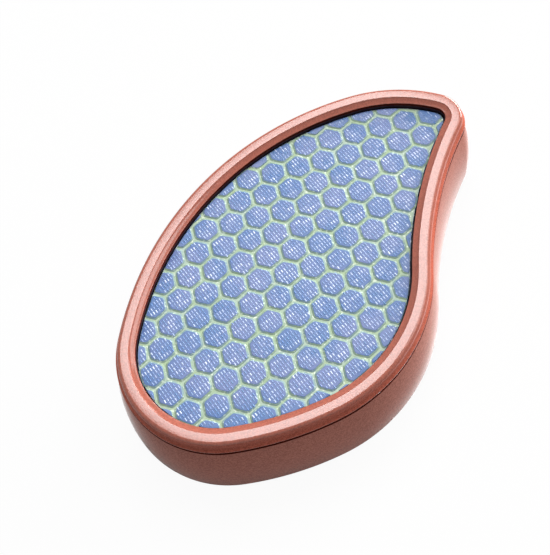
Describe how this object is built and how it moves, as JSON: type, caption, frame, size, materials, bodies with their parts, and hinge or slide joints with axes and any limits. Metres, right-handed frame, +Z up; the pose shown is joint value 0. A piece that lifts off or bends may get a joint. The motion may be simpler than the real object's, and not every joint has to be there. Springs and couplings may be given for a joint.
{
  "type": "glass foot file",
  "caption": "Comma-shaped hand-held foot file: a glass plate with a raised hexagon pattern, bonded into a rounded rim frame on a hollow flared grip shell",
  "frame": {"origin": "middle of the footprint, on the flat base", "axes": "+Z up, out of the glass face; +Y toward the narrow tip; +X toward the side with the hollow waist"},
  "size_m": [0.065, 0.1038, 0.0225],
  "materials": {
    "shell": "rose-gold metallic lacquer over moulded plastic",
    "rim": "rose-gold metallic lacquer over moulded plastic, polished crest",
    "glass": "etched glass with raised hexagons, blue from the pad behind it",
    "pad": "dark double-sided foam tape"
  },
  "bodies": {
    "root": {"grip_shell": "shell", "rim_frame": "rim", "glass_plate": "glass", "adhesive_pad": "pad"}
  },
  "joints": []
}
